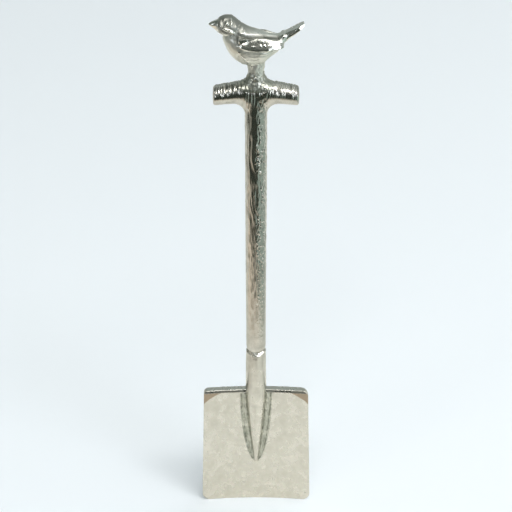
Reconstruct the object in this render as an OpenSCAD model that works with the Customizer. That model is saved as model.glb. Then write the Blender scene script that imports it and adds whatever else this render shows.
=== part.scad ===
// Sugar spoon in the shape of a garden spade, with a small bird perched on its T grip.
// Millimetres. +Z runs up the shaft, +X along the grip, and the blade's hollow face looks to -Y.
// The origin is the middle of the cutting edge.

/* [Blade] */
// Height of the blade, from its cutting edge to the top of its treads
blade_h = 27.5; // [22:0.5:36]
// Width across the cutting edge
blade_edge_w = 23; // [19:0.5:28]
// Width across the treads
blade_top_w = 21.9; // [19:0.1:28]
// Thickness of the blade's metal
blade_t = 1; // [0.8:0.05:1.5]
// How far the blade's sides curve forward of its middle
blade_dish = 0.9; // [0.4:0.1:2]
// Thickness left at the cutting edge
edge_t = 0.6; // [0.4:0.05:0.75]
// Height of the bevel behind the cutting edge
edge_bevel_h = 3; // [1.5:0.25:5]
// Radius of the two lower corners
edge_corner_r = 1.7; // [0.5:0.1:4]
// Radius of the two upper corners
tread_corner_r = 1.1; // [0.3:0.1:2.5]
// How far the folded treads stand forward of the blade's face
tread_depth = 0.5; // [0.3:0.05:1.2]
// Thickness of the treads, measured up and down
tread_t = 0.85; // [0.5:0.05:1.6]

/* [Socket] */
// How much wider the socket's mouth is than the shaft, all round
mouth_margin = 0.03; // [0:0.01:0.3]
// Outside diameter where the socket meets the treads
socket_base_d = 4.25; // [3.9:0.05:5.2]
// Height of the socket above the treads
socket_rise = 9.6; // [7:0.2:14]
// Length of the tongue down the blade
tongue_len = 18; // [12:0.5:20]
// Share of the tongue's narrowing that is straight, the rest being its curve
tongue_straight_share = 0.65; // [0.3:0.05:0.9]
// How far the mouth is scooped out at its front and back
mouth_dip = 0.9; // [0.3:0.1:1.4]

/* [Shaft] */
// Visible length of the shaft, from the bottom of its foot to the grip
shaft_len = 54.5; // [40:0.5:70]
// Diameter above the foot
shaft_foot_d = 4.05; // [3.8:0.05:5]
// Diameter under the grip
shaft_top_d = 4.4; // [3.8:0.05:5.4]
// Height over which the foot rounds inwards
foot_round_h = 1.9; // [1.5:0.1:3]
// How far the foot rounds inwards
foot_round_w = 0.7; // [0.4:0.05:0.75]
// Diameter of the tenon in the socket
foot_tenon_d = 2.4; // [1.8:0.1:2.4]
// Diameter of the tenon in the grip
top_tenon_d = 2.2; // [1.6:0.1:2.8]

/* [Grip] */
// Length of the grip from end to end
grip_len = 17.1; // [14:0.1:24]
// Diameter of the grip at its middle
grip_mid_d = 4.6; // [4.4:0.1:6]
// Diameter of the grip at its ends
grip_end_d = 3.95; // [3.4:0.05:6]
// How far the grip's ends droop below its middle
grip_sag = 0.85; // [0.3:0.05:1.6]
// Radius that rounds the rims of the end faces
grip_rim_r = 0.4; // [0.2:0.05:0.8]
// Radius of the fillets between the shaft and the grip
neck_fillet_r = 2.5; // [1.5:0.1:4]

/* [Bird] */
// Length from the tip of the beak to the tip of the tail
bird_len = 18.65; // [15:0.05:23]
// Height of the crown above the grip
bird_h = 13.8; // [11:0.05:17]
// Width of the body, without the wings
bird_w = 6.3; // [5:0.1:8]
// Length of a folded wing
wing_len = 9; // [7:0.1:10]
// Height of a folded wing
wing_h = 2.5; // [1.8:0.1:3.2]
// Thickness of a folded wing
wing_t = 1; // [0.7:0.05:1.4]
// Angle at which a wing's lower edge stands out
wing_lean = 30; // [15:1:40]
// Diameter of an eye
eye_d = 0.95; // [0.6:0.05:1.2]
// Diameter of the stem that carries the bird
stem_d = 3.2; // [2.4:0.1:4]
// Height of the stem's narrow part above the grip
stem_waist_h = 2.4; // [1.5:0.1:3]
// Diameter of the peg under the stem
peg_d = 1.8; // [1.2:0.1:2]
// Length of the peg under the stem
peg_len = 2; // [1.2:0.1:2.2]

/* [Solder] */
// Gap left for solder round each tenon, peg and plate
solder_gap = 0.05; // [0.03:0.01:0.1]
// Width of the solder runs beside the tongue
run_w = 1.3; // [0.8:0.1:2]
// How high the solder runs bank up against the tongue
run_h = 0.6; // [0.3:0.05:0.9]
// Thickness of the solder runs at their outer edge
run_edge_t = 0.2; // [0.15:0.05:0.3]
// How far the solder collar round the stem flares where it meets the grip
collar_w = 1.15; // [0.6:0.05:1.6]
// Thickness of the solder collar's upper edge
collar_edge_t = 0.12; // [0.08:0.01:0.3]

/* [Hidden] */

polished = [0.84, 0.83, 0.79];
cast_grain = [0.62, 0.61, 0.57];
satin = [0.78, 0.77, 0.73];
solder_grey = [0.52, 0.53, 0.51];

$fn = 72;
plate_fn = 720;
// One overrun serves every cut
cut = 1;
// Points round one ring of a lofted form, and rings drawn for each row of its table
ring_points = 20;
rings_per_row = 2;

// Share of the socket's and the neck's depth that each of the shaft's tenons fills
foot_tenon_share = 0.92;
top_tenon_share = 0.87;
// Share of the socket's radius that is left at the blunt end of each strap
strap_end_share = 0.16;
// Share of the stem's height, up to its waist, that the solder collar covers, and share of the
// collar's flare that runs down the sides of the grip
collar_up_share = 0.88;
collar_side_share = 0.3;

// Heights of the joints, each worked out from the pieces below it
tread_z = blade_h;
mouth_z = tread_z + socket_rise;
foot_z = mouth_z - mouth_dip;
neck_z = foot_z + shaft_len;
grip_z = neck_z + neck_fillet_r + grip_mid_d / 2;
perch_z = grip_z + grip_mid_d / 2;

socket_mouth_d = shaft_foot_d + 2 * mouth_margin;
foot_tenon_len = foot_tenon_share * (socket_rise - mouth_dip);
top_tenon_len = top_tenon_share * (grip_z - neck_z);
collar_h = collar_up_share * stem_waist_h;

// The blade's face is a hollow cylinder that touches the shaft's axis
face_r = (pow(blade_edge_w / 2, 2) + pow(blade_dish, 2)) / (2 * blade_dish);
back_r = face_r + blade_t;

// Beak and head, row by row: shares of the bird's length, its height (top and bottom) and its
// half width, then how round the section is, from 1 for an oval towards 0 for a box
head_shares = [
    [0.000, 0.874, 0.861, 0.05, 1],
    [0.020, 0.904, 0.833, 0.14, 1],
    [0.048, 0.920, 0.806, 0.20, 1],
    [0.074, 0.937, 0.776, 0.27, 1],
    [0.100, 0.958, 0.748, 0.38, 1],
    [0.126, 0.979, 0.725, 0.52, 1],
    [0.160, 0.996, 0.703, 0.64, 1],
    [0.198, 1.000, 0.689, 0.70, 1],
    [0.234, 0.993, 0.692, 0.71, 1],
    [0.270, 0.962, 0.713, 0.67, 1],
    [0.306, 0.921, 0.737, 0.57, 1],
    [0.338, 0.878, 0.758, 0.40, 1],
    [0.360, 0.833, 0.794, 0.16, 1]
];

// Body and tail, in the same shares
body_shares = [
    [0.144, 0.709, 0.652, 0.11, 1],
    [0.157, 0.770, 0.599, 0.32, 1],
    [0.179, 0.804, 0.527, 0.50, 1],
    [0.208, 0.837, 0.452, 0.65, 1],
    [0.240, 0.865, 0.391, 0.77, 1],
    [0.272, 0.892, 0.348, 0.86, 1],
    [0.308, 0.909, 0.308, 0.93, 1],
    [0.350, 0.878, 0.280, 0.98, 1],
    [0.410, 0.833, 0.265, 1.00, 1],
    [0.483, 0.793, 0.265, 1.00, 1],
    [0.555, 0.762, 0.286, 0.98, 1],
    [0.605, 0.737, 0.335, 0.94, 1],
    [0.655, 0.721, 0.400, 0.87, 1],
    [0.707, 0.717, 0.448, 0.76, 1],
    [0.752, 0.727, 0.521, 0.62, 0.95],
    [0.792, 0.755, 0.593, 0.49, 0.85],
    [0.840, 0.790, 0.658, 0.43, 0.75],
    [0.888, 0.823, 0.711, 0.43, 0.65],
    [0.938, 0.858, 0.772, 0.45, 0.6],
    [0.982, 0.886, 0.837, 0.43, 0.6],
    [1.000, 0.894, 0.867, 0.38, 0.6]
];

// A folded wing, from shoulder to tip: shares of its length, of the bird's height, of the body's
// half width, of the wing's height and of its thickness
wing_shares = [
    [0.00, 0.638, 0.76, 0.16, 0.5],
    [0.05, 0.638, 0.81, 0.60, 0.8],
    [0.12, 0.635, 0.84, 0.80, 1],
    [0.28, 0.628, 0.86, 0.96, 1],
    [0.45, 0.624, 0.86, 1.00, 1],
    [0.61, 0.623, 0.84, 0.93, 1],
    [0.73, 0.620, 0.78, 0.80, 0.95],
    [0.86, 0.613, 0.70, 0.64, 0.85],
    [0.95, 0.605, 0.62, 0.46, 0.7],
    [1.00, 0.601, 0.56, 0.20, 0.5]
];

// Places on the bird, as shares of its length, its height or its half width
perch_along_share = 0.494;
shoulder_along_share = 0.306;
eye_along_share = 0.196;
eye_up_share = 0.921;
eye_out_share = 0.6;
flare_up_share = 0.326;
flare_out_share = 0.8;

// Radius of the socket's outside at a distance d below the treads
function tongue_r(d) =
    let (
        part = min(d / tongue_len, 1),
        narrowing = tongue_straight_share * part + (1 - tongue_straight_share) * pow(part, 2)
    )
    socket_base_d / 2 * (1 - (1 - strap_end_share) * narrowing);

// Length of the strap behind the blade, which stops where it is as thick as the tongue's end
function back_strap_len() =
    let (
        straight = tongue_straight_share,
        curved = 1 - straight,
        fall = 1 - 2 * blade_t / socket_base_d / (1 - strap_end_share)
    )
    tongue_len * (sqrt(pow(straight, 2) + 4 * curved * fall) - straight) / (2 * curved);

// Radius of the shaft at a height h above the bottom of its foot
function shaft_r(h) =
    let (
        part = max(0, 1 - h / foot_round_h),
        straight = shaft_foot_d + (shaft_top_d - shaft_foot_d) * h / shaft_len
    )
    straight / 2 - foot_round_w * (1 - sqrt(1 - part * part));

// Radius of the grip at a distance x from its middle, and how far its centre has drooped there
function grip_r(x) =
    let (rim = max(0, abs(x) - grip_len / 2 + grip_rim_r))
    (grip_mid_d + (grip_end_d - grip_mid_d) * pow(2 * x / grip_len, 2)) / 2
        - grip_rim_r + sqrt(pow(grip_rim_r, 2) - rim * rim);
function grip_droop(x) = grip_sag * pow(2 * x / grip_len, 2);

// How far the fillet under the grip reaches below it at a distance x from the middle
function neck_drop(x) =
    let (run = min(neck_fillet_r, max(0, shaft_top_d / 2 + neck_fillet_r - abs(x))))
    neck_fillet_r - sqrt(pow(neck_fillet_r, 2) - run * run);

// A smooth curve through the rows of a table, with t counted in rows
function row(table, i) = table[max(0, min(len(table) - 1, i))];
function smooth(table, t) =
    let (
        i = min(floor(t), len(table) - 2),
        u = t - i,
        a = row(table, i - 1),
        b = row(table, i),
        c = row(table, i + 1),
        d = row(table, i + 2)
    )
    b + (c - a) * u / 2 + (2 * a - 5 * b + 4 * c - d) * u * u / 2 + (3 * b - a - 3 * c + d) * u * u * u / 2;
function smooth_rows(table) =
    [for (i = [0:(len(table) - 1) * rings_per_row]) smooth(table, i / rings_per_row)];

// Raises the size of a number to a power and keeps its sign
function signed_pow(v, p) = sign(v) * pow(abs(v), p);

// Where a share of the bird's length lies along X
function bird_x(share) = (share - perch_along_share) * bird_len;

// Joins rings of equal point count into one closed solid, with a flat cap at each end.
// Each ring runs counterclockwise as seen from the side of the last one.
module skin(rings) {
    count = len(rings[0]);
    last = len(rings) - 1;
    walls = [
        for (i = [0:last - 1], k = [0:count - 1])
            let (a = i * count + k, b = i * count + (k + 1) % count)
            each [[b, a, a + count], [b, a + count, b + count]]
    ];
    caps = [[for (k = [0:count - 1]) k], [for (k = [count - 1:-1:0]) last * count + k]];
    polyhedron(points = [for (ring = rings) each ring], faces = concat(walls, caps), convexity = 6);
}

// Draws its child and the child's mirror image across the XZ plane
module both_sides() {
    children();
    mirror([0, 1, 0])
        children();
}

// Points on an arc about a centre, between two angles
function arc(centre, r, from, to, steps = 8) =
    [for (i = [0:steps])
        let (t = from + (to - from) * i / steps)
        centre + r * [cos(t), sin(t)]];

// Front outline of the blade: straight edges between four rounded corners
module blade_outline() {
    low = [blade_edge_w / 2 - edge_corner_r, edge_corner_r];
    high = [blade_top_w / 2 - tread_corner_r, tread_z - tread_corner_r];
    side = high - low;
    turn = atan2(side.y, side.x) - 90 + asin((edge_corner_r - tread_corner_r) / norm(side));
    half = concat(arc(low, edge_corner_r, -90, turn), arc(high, tread_corner_r, turn, 90));
    polygon(concat(half, [for (i = [len(half) - 1:-1:0]) [-half[i].x, half[i].y]]));
}

// A hollow upright plate between two radii about the blade's own centre, from bottom to top
module curved_plate(inner_r, outer_r, bottom, top) {
    translate([0, -face_r, 0])
        difference() {
            translate([0, 0, bottom])
                cylinder(r = outer_r, h = top - bottom, $fn = plate_fn);
            translate([0, 0, bottom - cut])
                cylinder(r = inner_r, h = top - bottom + 2 * cut, $fn = plate_fn);
        }
}

// Outside of the socket and its tongue, grown by a clearance
module socket_form(grow = 0) {
    steps = 14;
    rotate_extrude()
        polygon(concat(
            [[0, mouth_z + grow], [socket_mouth_d / 2 + grow, mouth_z + grow]],
            [for (i = [0:steps])
                let (d = tongue_len * i / steps)
                [tongue_r(d) + grow, tread_z - d - grow * i / steps]],
            [[0, tread_z - tongue_len - grow]]
        ));
}

// What the bevel takes off the back, so that the plate thins towards its cutting edge
module edge_bevel() {
    slope = (blade_t - edge_t) / edge_bevel_h;
    translate([0, -face_r, -cut])
        difference() {
            translate([0, 0, -cut])
                cylinder(r = back_r + 2 * cut, h = edge_bevel_h + 2 * cut, $fn = plate_fn);
            cylinder(
                r1 = face_r + edge_t - cut * slope,
                r2 = back_r + cut * slope,
                h = edge_bevel_h + 2 * cut,
                $fn = plate_fn
            );
        }
}

// The blade, with its top edge folded forward into treads for a foot to press on
module blade() {
    reach = blade_dish + tread_depth + blade_t;
    color(polished)
        difference() {
            intersection() {
                rotate([90, 0, 0])
                    linear_extrude(2 * reach, center = true)
                        blade_outline();
                union() {
                    curved_plate(face_r, back_r, -cut, tread_z + cut);
                    difference() {
                        curved_plate(face_r - tread_depth, face_r + blade_t / 2,
                            tread_z - tread_t, tread_z + cut);
                        socket_form(solder_gap);
                    }
                }
            }
            edge_bevel();
        }
}

// Outside of the shaft from its foot upwards, grown by a clearance
module shaft_form(grow = 0) {
    steps = 8;
    rotate_extrude()
        polygon(concat(
            [[0, foot_z - grow]],
            [for (i = [0:steps])
                let (h = foot_round_h * (1 - cos(90 * i / steps)))
                [shaft_r(h) + grow, foot_z + h - grow * (1 - i / steps)]],
            [[shaft_r(shaft_len) + grow, neck_z], [0, neck_z]]
        ));
}

module shaft() {
    color(cast_grain)
        union() {
            shaft_form();
            translate([0, 0, foot_z - foot_tenon_len])
                cylinder(d = foot_tenon_d, h = foot_tenon_len + foot_round_h);
            translate([0, 0, neck_z - foot_round_h])
                cylinder(d = top_tenon_d, h = foot_round_h + top_tenon_len);
        }
}

// A tube with a scooped mouth, which goes on down the blade's front and back as two straps
module socket() {
    scoop_r = (pow(socket_mouth_d / 2, 2) + pow(mouth_dip, 2)) / (2 * mouth_dip);
    color(satin)
        difference() {
            socket_form();
            curved_plate(face_r - solder_gap, back_r + solder_gap, -cut, tread_z + solder_gap);
            translate([-socket_base_d, blade_t / 2, 0])
                cube([2 * socket_base_d, socket_base_d, tread_z - back_strap_len()]);
            translate([0, 0, foot_z - foot_tenon_len - solder_gap])
                cylinder(d = foot_tenon_d + 2 * solder_gap, h = foot_tenon_len + cut);
            shaft_form(solder_gap);
            translate([0, 0, mouth_z - mouth_dip + scoop_r])
                rotate([90, 0, 0])
                    cylinder(r = scoop_r, h = 2 * socket_mouth_d, center = true);
        }
}

// A low bank of solder that stands out to +Y, thickest against the flanks of a strap. It has a
// rounder outline than the strap: reach is its length, and depth how far it lies from the axis.
module solder_bank(reach, depth) {
    steps = 14;
    rings = [
        for (i = [steps - 1:-1:0])
            let (
                d = tread_t + (reach - tread_t) * sin(90 * i / steps),
                z = tread_z - d,
                wide = (socket_base_d / 2 + run_w) * sqrt(1 - pow(d / reach, 2)),
                strap = sqrt(max(0, pow(tongue_r(d), 2) - pow(depth, 2))),
                flank = min(max(strap, run_edge_t), wide / 2),
                mid = (flank + wide) / 2,
                low = run_edge_t + (run_h - run_edge_t) / 3
            )
            [
                [-wide, -blade_t / 2, z],
                [wide, -blade_t / 2, z],
                [wide, run_edge_t, z],
                [mid, low, z],
                [flank, run_h, z],
                [-flank, run_h, z],
                [-mid, low, z],
                [-wide, run_edge_t, z]
            ]
    ];
    skin(rings);
}

// The runs that hold the blade between the straps, one on its face and one on its back
module strap_solder() {
    color(solder_grey)
        difference() {
            difference() {
                union() {
                    mirror([0, 1, 0])
                        solder_bank(tongue_len, 0);
                    translate([0, blade_t, 0])
                        solder_bank(back_strap_len() + run_w, blade_t);
                }
                curved_plate(face_r, back_r, -cut, tread_z);
            }
            socket_form();
        }
}

// Outside of the grip: round sections on a drooping line, drawn down into the neck at the middle
module grip_form() {
    steps = 26;
    rim_steps = 3;
    half = grip_len / 2;
    inner = half - grip_rim_r;
    rim_places = [for (i = [0:rim_steps - 1]) inner + grip_rim_r * cos(90 * i / rim_steps)];
    places = concat(
        [for (i = [0:rim_steps - 1]) -rim_places[i]],
        [for (i = [0:steps]) -inner + 2 * inner * i / steps],
        [for (i = [rim_steps - 1:-1:0]) rim_places[i]]
    );
    skin([
        for (x = places)
            let (
                middle = grip_z - grip_droop(x),
                low = min(grip_r(x) + neck_drop(x), middle - neck_z)
            )
            [for (k = [0:ring_points - 1])
                let (t = 360 * k / ring_points)
                [x, grip_r(x) * cos(t), middle + sin(t) * (sin(t) > 0 ? grip_r(x) : low)]]
    ]);
    translate([0, 0, neck_z])
        cylinder(d = shaft_top_d, h = grip_z - neck_z);
}

module grip() {
    color(cast_grain)
        difference() {
            grip_form();
            translate([0, 0, neck_z - cut])
                cylinder(d = top_tenon_d + 2 * solder_gap, h = top_tenon_len + solder_gap + cut);
            translate([0, 0, perch_z - peg_len - solder_gap])
                cylinder(d = peg_d + 2 * solder_gap, h = peg_len + solder_gap + cut);
        }
}

// A lofted piece of the bird from a table of shares
module bird_loft(table) {
    skin([
        for (place = smooth_rows(table))
            let (
                mid_z = perch_z + bird_h * (place[1] + place[2]) / 2,
                half_h = bird_h * (place[1] - place[2]) / 2,
                half_w = bird_w / 2 * place[3]
            )
            [for (k = [0:ring_points - 1])
                let (t = 360 * k / ring_points)
                [
                    bird_x(place[0]),
                    half_w * signed_pow(cos(t), place[4]),
                    mid_z + half_h * signed_pow(sin(t), place[4])
                ]]
    ]);
}

// The folded wing on the +Y side
module wing() {
    up = [0, -sin(wing_lean), cos(wing_lean)];
    out = [0, cos(wing_lean), sin(wing_lean)];
    skin([
        for (place = smooth_rows(wing_shares))
            let (
                middle = [
                    bird_x(shoulder_along_share) + wing_len * place[0],
                    bird_w / 2 * place[2],
                    perch_z + bird_h * place[1]
                ]
            )
            [for (k = [0:ring_points - 1])
                let (t = 360 * k / ring_points)
                middle + up * sin(t) * wing_h / 2 * place[3] + out * cos(t) * wing_t / 2 * place[4]]
    ]);
}

// The stem: straight from the grip to its waist, then flared up into the belly
module stem() {
    steps = 8;
    waist_z = perch_z + stem_waist_h;
    flare_h = flare_up_share * bird_h - stem_waist_h;
    flare_w = flare_out_share * bird_w / 2 - stem_d / 2;
    rotate_extrude()
        polygon(concat(
            [[0, perch_z], [stem_d / 2, perch_z]],
            [for (i = [0:steps])
                let (t = 90 * i / steps)
                [stem_d / 2 + flare_w * (1 - cos(t)), waist_z + flare_h * sin(t)]],
            [[0, waist_z + flare_h]]
        ));
    translate([0, 0, perch_z - peg_len])
        cylinder(d = peg_d, h = peg_len + stem_waist_h);
}

module bird() {
    color(polished)
        union() {
            bird_loft(body_shares);
            bird_loft(head_shares);
            stem();
            both_sides() {
                wing();
                translate([
                    bird_x(eye_along_share),
                    eye_out_share * bird_w / 2,
                    perch_z + eye_up_share * bird_h
                ])
                    sphere(d = eye_d, $fn = 24);
            }
        }
}

// The collar of solder that seats the stem on the round top of the grip
module bird_solder() {
    steps = 10;
    depth = collar_h + grip_mid_d / 4;
    rings = [
        for (i = [steps:-1:0])
            let (
                drop = depth * i / steps,
                flare = (collar_w - collar_edge_t) * pow(drop / collar_h, 2),
                upper_r = stem_d / 2 + collar_edge_t,
                side = min(upper_r + collar_side_share * flare, 0.45 * grip_mid_d)
            )
            [for (k = [0:ring_points - 1])
                let (t = 360 * k / ring_points)
                [(upper_r + flare) * cos(t), side * sin(t), perch_z + collar_h - drop]]
    ];
    color(solder_grey)
        difference() {
            skin(rings);
            grip_form();
            translate([0, 0, perch_z])
                cylinder(d = stem_d, h = collar_h + cut);
            translate([0, 0, perch_z - peg_len])
                cylinder(d = peg_d + 2 * solder_gap, h = peg_len + cut);
        }
}

blade();
socket();
strap_solder();
shaft();
grip();
bird();
bird_solder();
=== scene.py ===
"""Looks of the sugar spoon: cast and polished pewter on a pale floor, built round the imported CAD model."""
import itertools
import math

import bpy
import numpy as np
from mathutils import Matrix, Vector


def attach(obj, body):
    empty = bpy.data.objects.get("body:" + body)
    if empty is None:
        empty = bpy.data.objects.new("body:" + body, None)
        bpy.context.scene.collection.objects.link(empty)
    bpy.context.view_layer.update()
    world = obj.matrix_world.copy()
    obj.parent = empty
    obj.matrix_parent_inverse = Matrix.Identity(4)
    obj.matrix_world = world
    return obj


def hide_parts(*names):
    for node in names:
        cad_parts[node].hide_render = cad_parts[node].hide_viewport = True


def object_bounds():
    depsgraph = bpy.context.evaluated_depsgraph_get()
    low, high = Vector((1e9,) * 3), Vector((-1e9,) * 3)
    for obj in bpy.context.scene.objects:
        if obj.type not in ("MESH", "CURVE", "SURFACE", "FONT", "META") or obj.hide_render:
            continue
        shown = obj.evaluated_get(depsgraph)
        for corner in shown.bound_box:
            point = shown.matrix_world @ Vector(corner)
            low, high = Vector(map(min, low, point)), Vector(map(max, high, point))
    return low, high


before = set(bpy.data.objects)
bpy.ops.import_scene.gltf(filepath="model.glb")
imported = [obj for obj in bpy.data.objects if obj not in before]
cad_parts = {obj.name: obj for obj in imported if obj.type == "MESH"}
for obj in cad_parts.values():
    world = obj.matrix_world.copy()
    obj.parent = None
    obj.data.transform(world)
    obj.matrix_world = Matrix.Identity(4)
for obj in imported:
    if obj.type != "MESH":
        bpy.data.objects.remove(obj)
cad_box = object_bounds()

# Shapes are worked out in millimetres and handed to Blender in metres
MM = 0.001

# Heights and sizes that the CAD source also uses
TREAD_Z = 27.5
MOUTH_Z = 37.1
MOUTH_DIP = 0.9
FOOT_Z = MOUTH_Z - MOUTH_DIP
SHAFT_LEN = 54.5
NECK_Z = FOOT_Z + SHAFT_LEN
GRIP_LEN = 17.1
GRIP_MID_R = 2.3
GRIP_END_R = 1.975
GRIP_SAG = 0.85
NECK_FILLET_R = 2.5
GRIP_Z = NECK_Z + NECK_FILLET_R + GRIP_MID_R
PERCH_Z = GRIP_Z + GRIP_MID_R
SHAFT_FOOT_R = 2.025
SHAFT_TOP_R = 2.2
FACE_R = 73.92
BLADE_T = 1.0
BLADE_EDGE_HALF = 11.5
BLADE_TOP_HALF = 10.95
BLADE_CORNER_R = 1.7
SOCKET_BASE_R = 2.125
TONGUE_LEN = 18.0
RUN_W = 1.3
STEM_R = 1.6
STEM_WAIST_H = 2.4
COLLAR_H = 2.11
BIRD_LEN = 18.65
BIRD_H = 13.8
BIRD_HALF_W = 3.15
PERCH_ALONG = 0.494

# Tables behind the random patterns
NOISE_TABLE = np.random.default_rng(11).permutation(256)
NOISE_SLOPES = np.random.default_rng(12).normal(size=(256, 3))


def noise(points, seed=0):
    """Smooth random values, mostly between -1 and 1, about one swing for each unit of distance."""
    base = np.floor(points).astype(int)
    part = points - base
    fade = part ** 3 * (part * (part * 6 - 15) + 10)
    total = np.zeros(len(points))
    for corner in itertools.product((0, 1), repeat=3):
        at = (base + corner + seed) & 255
        value = NOISE_TABLE[(NOISE_TABLE[(NOISE_TABLE[at[:, 0]] + at[:, 1]) & 255] + at[:, 2]) & 255]
        rise = (NOISE_SLOPES[value] * (part - corner)).sum(1)
        total += rise * np.prod(np.where(corner, fade, 1 - fade), axis=1)
    return total


def ramp(value, start, end):
    """0 before start, 1 after end, and a smooth rise between."""
    part = np.clip((value - start) / (end - start), 0, 1)
    return part * part * (3 - 2 * part)


def row_points(*columns):
    """Points as rows, from a column for each coordinate."""
    return np.stack(np.broadcast_arrays(*columns), axis=-1).reshape(-1, len(columns))


def smooth_table(rows, per_row):
    """A smooth curve through the rows of a table."""
    rows = np.array(rows, float)
    padded = np.vstack([rows[:1], rows, rows[-1:]])
    out = []
    for i in range(len(rows) - 1):
        a, b, c, d = padded[i:i + 4]
        for u in np.arange(per_row) / per_row:
            bend = (2 * a - 5 * b + 4 * c - d) * u * u / 2
            out.append(b + (c - a) * u / 2 + bend + (3 * b - a - 3 * c + d) * u ** 3 / 2)
    out.append(rows[-1])
    return np.array(out)


# Meshes
def full_turn(count):
    """Angles evenly round a circle."""
    return np.linspace(0, 2 * math.pi, count, endpoint=False)


def loft(rings):
    """Points and faces of a closed solid through equal rings, each counterclockwise seen from the last."""
    count, around = rings.shape[:2]
    k = np.arange(around)
    after = (k + 1) % around
    faces = []
    for i in range(count - 1):
        low = i * around
        high = low + around
        faces += np.stack([low + after, low + k, high + k, high + after], 1).tolist()
    start = count * around
    faces += [[start, int(a), int(b)] for a, b in zip(k, after)]
    last = (count - 1) * around
    faces += [[start + 1, last + int(b), last + int(a)] for a, b in zip(k, after)]
    ends = [rings[0].mean(0), rings[-1].mean(0)]
    return np.vstack([rings.reshape(-1, 3), ends]), faces


def surface_net(field, low, high, steps):
    """Points and faces of the surface where a field is zero, one point in each cell that it crosses."""
    axes = [np.arange(a, b + step, step) for a, b, step in zip(low, high, steps)]
    grid = np.stack(np.meshgrid(*axes, indexing="ij"), -1)
    value = field(grid.reshape(-1, 3)).reshape(grid.shape[:3])
    cells = np.array(value.shape) - 1
    sums = np.zeros((*cells, 3))
    counts = np.zeros(cells)
    faces = []
    for axis in range(3):
        size = value.shape[axis]
        first = value.take(range(size - 1), axis)
        second = value.take(range(1, size), axis)
        index = np.argwhere((first < 0) != (second < 0))
        u = (axis + 1) % 3
        w = (axis + 2) % 3
        inner = (index[:, u] > 0) & (index[:, w] > 0)
        inner &= (index[:, u] < cells[u]) & (index[:, w] < cells[w])
        index = index[inner]
        a = first[tuple(index.T)]
        b = second[tuple(index.T)]
        place = index.astype(float)
        place[:, axis] += a / (a - b)
        quad = []
        for du, dw in ((-1, -1), (0, -1), (0, 0), (-1, 0)):
            cell = index.copy()
            cell[:, u] += du
            cell[:, w] += dw
            np.add.at(sums, tuple(cell.T), place)
            np.add.at(counts, tuple(cell.T), 1)
            quad.append(np.ravel_multi_index(tuple(cell.T), tuple(cells)))
        quad = np.stack(quad, 1)
        outward = a < 0
        faces.append(quad[outward])
        faces.append(quad[~outward][:, ::-1])
    faces = np.vstack(faces)
    used, renumbered = np.unique(faces, return_inverse=True)
    points = sums.reshape(-1, 3)[used] / counts.reshape(-1)[used][:, None]
    return np.array(low) + points * np.array(steps), renumbered.reshape(faces.shape).tolist()


def slope(field, points, reach=0.02):
    """The gradient of a field at each point."""
    parts = []
    for axis in range(3):
        shift = np.zeros(3)
        shift[axis] = reach
        parts.append((field(points + shift) - field(points - shift)) / (2 * reach))
    return np.stack(parts, 1)


def settle(field, points, steps=3):
    """Moves points onto the surface where a field is zero."""
    for _ in range(steps):
        gradient = slope(field, points)
        size = np.maximum((gradient ** 2).sum(1), 0.05)
        move = np.clip(field(points) / size, -0.1, 0.1)
        points = points - gradient * move[:, None]
    return points


def mesh_of(name, points, faces):
    mesh = bpy.data.meshes.new(name)
    mesh.from_pydata(points.tolist(), [], faces)
    mesh.update()
    return mesh


def points_of(mesh):
    out = np.zeros(len(mesh.vertices) * 3)
    mesh.vertices.foreach_get("co", out)
    return out.reshape(-1, 3)


def normals_of(mesh):
    out = np.zeros(len(mesh.vertices) * 3, np.float32)
    mesh.vertex_normals.foreach_get("vector", out)
    return out.reshape(-1, 3).astype(float)


def remesh(points, faces, voxel):
    """One skin round several overlapping solids."""
    body = bpy.data.objects.new("solids", mesh_of("solids", points, faces))
    bpy.context.scene.collection.objects.link(body)
    modifier = body.modifiers.new("Skin", "REMESH")
    modifier.mode = "VOXEL"
    modifier.voxel_size = voxel
    bpy.context.view_layer.update()
    skin = bpy.data.meshes.new_from_object(body.evaluated_get(bpy.context.evaluated_depsgraph_get()))
    bpy.data.objects.remove(body)
    return skin


def relax(mesh, passes, weight):
    """Draws each point towards its neighbours, as far as its weight says."""
    points = points_of(mesh)
    ends = np.zeros(len(mesh.edges) * 2, int)
    mesh.edges.foreach_get("vertices", ends)
    a, b = ends.reshape(-1, 2).T
    count = np.bincount(ends, minlength=len(points)).astype(float)[:, None]
    for i in range(passes):
        total = np.zeros_like(points)
        np.add.at(total, a, points[b])
        np.add.at(total, b, points[a])
        # Every second pass pushes back, so that the form doesn't shrink
        share = 0.6 if i % 2 == 0 else -0.55
        points = points + (total / count - points) * (weight * share)[:, None]
    mesh.vertices.foreach_set("co", points.reshape(-1))
    mesh.update()


def piece(name, mesh, points, patina_and_painted_light, material, nodes, satin=None):
    """Turns a mesh in millimetres into a piece that stands for CAD nodes.

    Its points store how much each is darkened, by patina in hollows and on some pieces also by painted shade
    and painted reflection, and how satin it is, both from 0 to 1.
    """
    points = np.clip(points * MM, *np.array(cad_box))
    mesh.vertices.foreach_set("co", points.reshape(-1))
    for kind, value in (("patina_and_painted_light", patina_and_painted_light), ("satin", 0 * patina_and_painted_light if satin is None else satin)):
        store = mesh.attributes.new(kind, "FLOAT", "POINT")
        store.data.foreach_set("value", np.clip(value, 0, 1).astype(np.float32))
    mesh.update()
    mesh.shade_smooth()
    mesh.materials.clear()
    mesh.materials.append(material)
    obj = bpy.data.objects.new(name, mesh)
    bpy.context.scene.collection.objects.link(obj)
    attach(obj, "root")
    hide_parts(*nodes)
    return obj


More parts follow.
